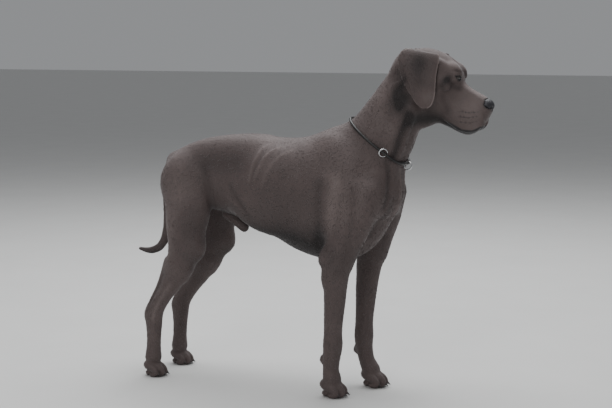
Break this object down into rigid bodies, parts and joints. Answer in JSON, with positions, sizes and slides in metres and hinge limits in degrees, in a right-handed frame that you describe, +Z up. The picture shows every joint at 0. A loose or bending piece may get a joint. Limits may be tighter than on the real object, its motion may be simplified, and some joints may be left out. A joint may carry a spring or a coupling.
{
  "type": "great dane",
  "caption": "full grown male great dane dog standing square with head high and ears hanging, short blue-grey coat, slip collar on the neck",
  "frame": {"origin": "on the floor under the middle of the bounding box", "axes": "+X towards the nose, +Y towards the dog's left, +Z up; Y is the narrowest way"},
  "size_m": [1.278, 0.3098, 1.133],
  "materials": {
    "coat": "short smooth hair, blue-grey with a faint brown cast",
    "nose_leather": "moist grained skin",
    "eye": "wet and glossy",
    "claw": "dull horn",
    "collar_leather": "smooth rolled black leather",
    "ring_steel": "polished steel"
  },
  "bodies": {
    "root": {"head": "coat", "jaw": "coat", "nose": "nose_leather", "eye_right": "eye", "eye_left": "eye", "ear_right": "coat", "ear_left": "coat", "neck": "coat", "chest": "coat", "rump": "coat", "tail": "coat", "foreleg_right": "coat", "foreleg_left": "coat", "forepaw_right": "coat", "forepaw_left": "coat", "thigh_right": "coat", "thigh_left": "coat", "hind_leg_right": "coat", "hind_leg_left": "coat", "hind_paw_right": "coat", "hind_paw_left": "coat", "forepaw_right_claw_1": "claw", "forepaw_right_claw_2": "claw", "forepaw_right_claw_3": "claw", "forepaw_right_claw_4": "claw", "forepaw_left_claw_1": "claw", "forepaw_left_claw_2": "claw", "forepaw_left_claw_3": "claw", "forepaw_left_claw_4": "claw", "hind_paw_right_claw_1": "claw", "hind_paw_right_claw_2": "claw", "hind_paw_right_claw_3": "claw", "hind_paw_right_claw_4": "claw", "hind_paw_left_claw_1": "claw", "hind_paw_left_claw_2": "claw", "hind_paw_left_claw_3": "claw", "hind_paw_left_claw_4": "claw", "collar": "collar_leather", "collar_ring_side": "ring_steel", "collar_ring_front": "ring_steel"}
  },
  "joints": []
}
